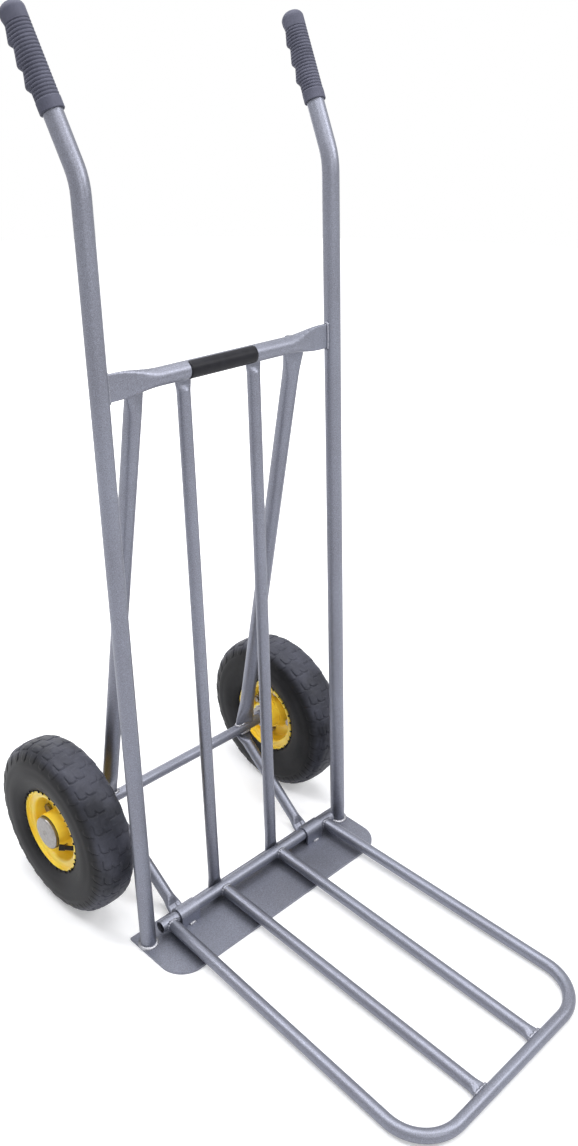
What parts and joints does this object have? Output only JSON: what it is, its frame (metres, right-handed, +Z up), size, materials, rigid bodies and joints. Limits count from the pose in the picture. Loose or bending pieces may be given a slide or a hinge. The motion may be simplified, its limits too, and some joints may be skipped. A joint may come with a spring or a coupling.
{
  "type": "hand truck",
  "caption": "Two-wheeled hand truck with tubular steel frame, rubber grips, pneumatic wheels on yellow pressed rims and a fold-up tubular foot.",
  "frame": {"origin": "on the ground, at the middle of the truck's footprint with its foot folded down", "axes": "+Z up, -Y to the front where the load stands, +X to the left of a person standing behind the handles"},
  "size_m": [0.502, 0.7741, 1.185],
  "materials": {
    "frame_paint": "satin silver-grey metallic paint over welded steel tube",
    "rim_yellow": "gloss yellow paint on pressed steel",
    "tyre_rubber": "black moulded rubber with a block tread",
    "black_rubber": "plain black rubber",
    "grip_rubber": "matt dark grey moulded rubber",
    "zinc": "bright zinc plate",
    "bearing_steel": "ground bearing steel",
    "label": "blank charcoal film"
  },
  "bodies": {
    "frame": {"axle": "frame_paint", "crossbar": "frame_paint", "left_axle_spacer": "frame_paint", "left_brace": "frame_paint", "left_grip": "grip_rubber", "left_hinge_strap": "frame_paint", "left_inboard_bearing_inner_ring": "bearing_steel", "left_inner_washer": "zinc", "left_outboard_bearing_inner_ring": "bearing_steel", "left_outer_washer": "zinc", "left_side_rail": "frame_paint", "left_slat": "frame_paint", "left_split_pin": "zinc", "left_strut": "frame_paint", "right_axle_spacer": "frame_paint", "right_brace": "frame_paint", "right_grip": "grip_rubber", "right_hinge_strap": "frame_paint", "right_inboard_bearing_inner_ring": "bearing_steel", "right_inner_washer": "zinc", "right_outboard_bearing_inner_ring": "bearing_steel", "right_outer_washer": "zinc", "right_side_rail": "frame_paint", "right_slat": "frame_paint", "right_split_pin": "zinc", "right_strut": "frame_paint", "toe_plate": "frame_paint"},
    "folding_foot": {"foot_frame": "frame_paint", "hinge_tube": "frame_paint", "left_foot_bar": "frame_paint", "right_foot_bar": "frame_paint"},
    "right_wheel": {"right_bearing_balls": "bearing_steel", "right_dust_cap": "zinc", "right_hub": "rim_yellow", "right_inboard_bearing_outer_ring": "bearing_steel", "right_inner_rim": "rim_yellow", "right_inner_tube": "black_rubber", "right_outboard_bearing_outer_ring": "bearing_steel", "right_outer_rim": "rim_yellow", "right_rim_bolts": "zinc", "right_rim_nuts": "zinc", "right_tyre": "tyre_rubber", "right_valve_cap": "black_rubber", "right_valve_stem": "black_rubber"},
    "left_wheel": {"left_bearing_balls": "bearing_steel", "left_dust_cap": "zinc", "left_hub": "rim_yellow", "left_inboard_bearing_outer_ring": "bearing_steel", "left_inner_rim": "rim_yellow", "left_inner_tube": "black_rubber", "left_outboard_bearing_outer_ring": "bearing_steel", "left_outer_rim": "rim_yellow", "left_rim_bolts": "zinc", "left_rim_nuts": "zinc", "left_tyre": "tyre_rubber", "left_valve_cap": "black_rubber", "left_valve_stem": "black_rubber"}
  },
  "joints": [
    {"name": "right_wheel_spin", "type": "hinge", "parent": "frame", "child": "right_wheel", "pos_m": [-0.2133, 0.25712, 0.13], "axis": [1, 0, 0], "continuous": true},
    {"name": "left_wheel_spin", "type": "hinge", "parent": "frame", "child": "left_wheel", "pos_m": [0.2133, 0.25712, 0.13], "axis": [1, 0, 0], "continuous": true},
    {"name": "foot_fold", "type": "hinge", "parent": "frame", "child": "folding_foot", "pos_m": [0, 0.09413, 0.0195], "axis": [-1, 0, 0], "range_deg": [0, 92]}
  ]
}
